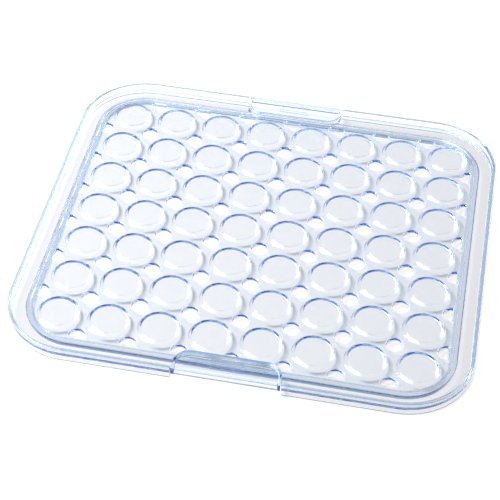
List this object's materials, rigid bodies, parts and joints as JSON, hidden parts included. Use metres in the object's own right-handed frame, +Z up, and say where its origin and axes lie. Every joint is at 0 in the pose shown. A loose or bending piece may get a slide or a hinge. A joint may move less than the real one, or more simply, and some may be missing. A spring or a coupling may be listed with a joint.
{
  "type": "humidity tray",
  "caption": "Clear shallow plant humidity tray with a lift-out perforated drain plate, raised round pads, a dome ledge and finger grips.",
  "frame": {"origin": "middle of the footprint, on the surface that the tray stands on", "axes": "+X to the right along the longer side, +Y to the back, +Z up, out of the open side of the tray"},
  "size_m": [0.31, 0.276, 0.01],
  "materials": {
    "tray_clear": "clear, faintly blue, polished",
    "plate_clear": "clear, faintly blue, polished",
    "grip_clear": "clear, faintly blue, polished"
  },
  "bodies": {
    "tray": {"drip_tray": "tray_clear"},
    "plate": {"drain_plate": "plate_clear", "front_grip": "grip_clear", "rear_grip": "grip_clear"}
  },
  "joints": [
    {"name": "plate_lift", "type": "slide", "parent": "tray", "child": "plate", "axis": [0, 0, 1], "range_m": [0, 0.06]}
  ]
}
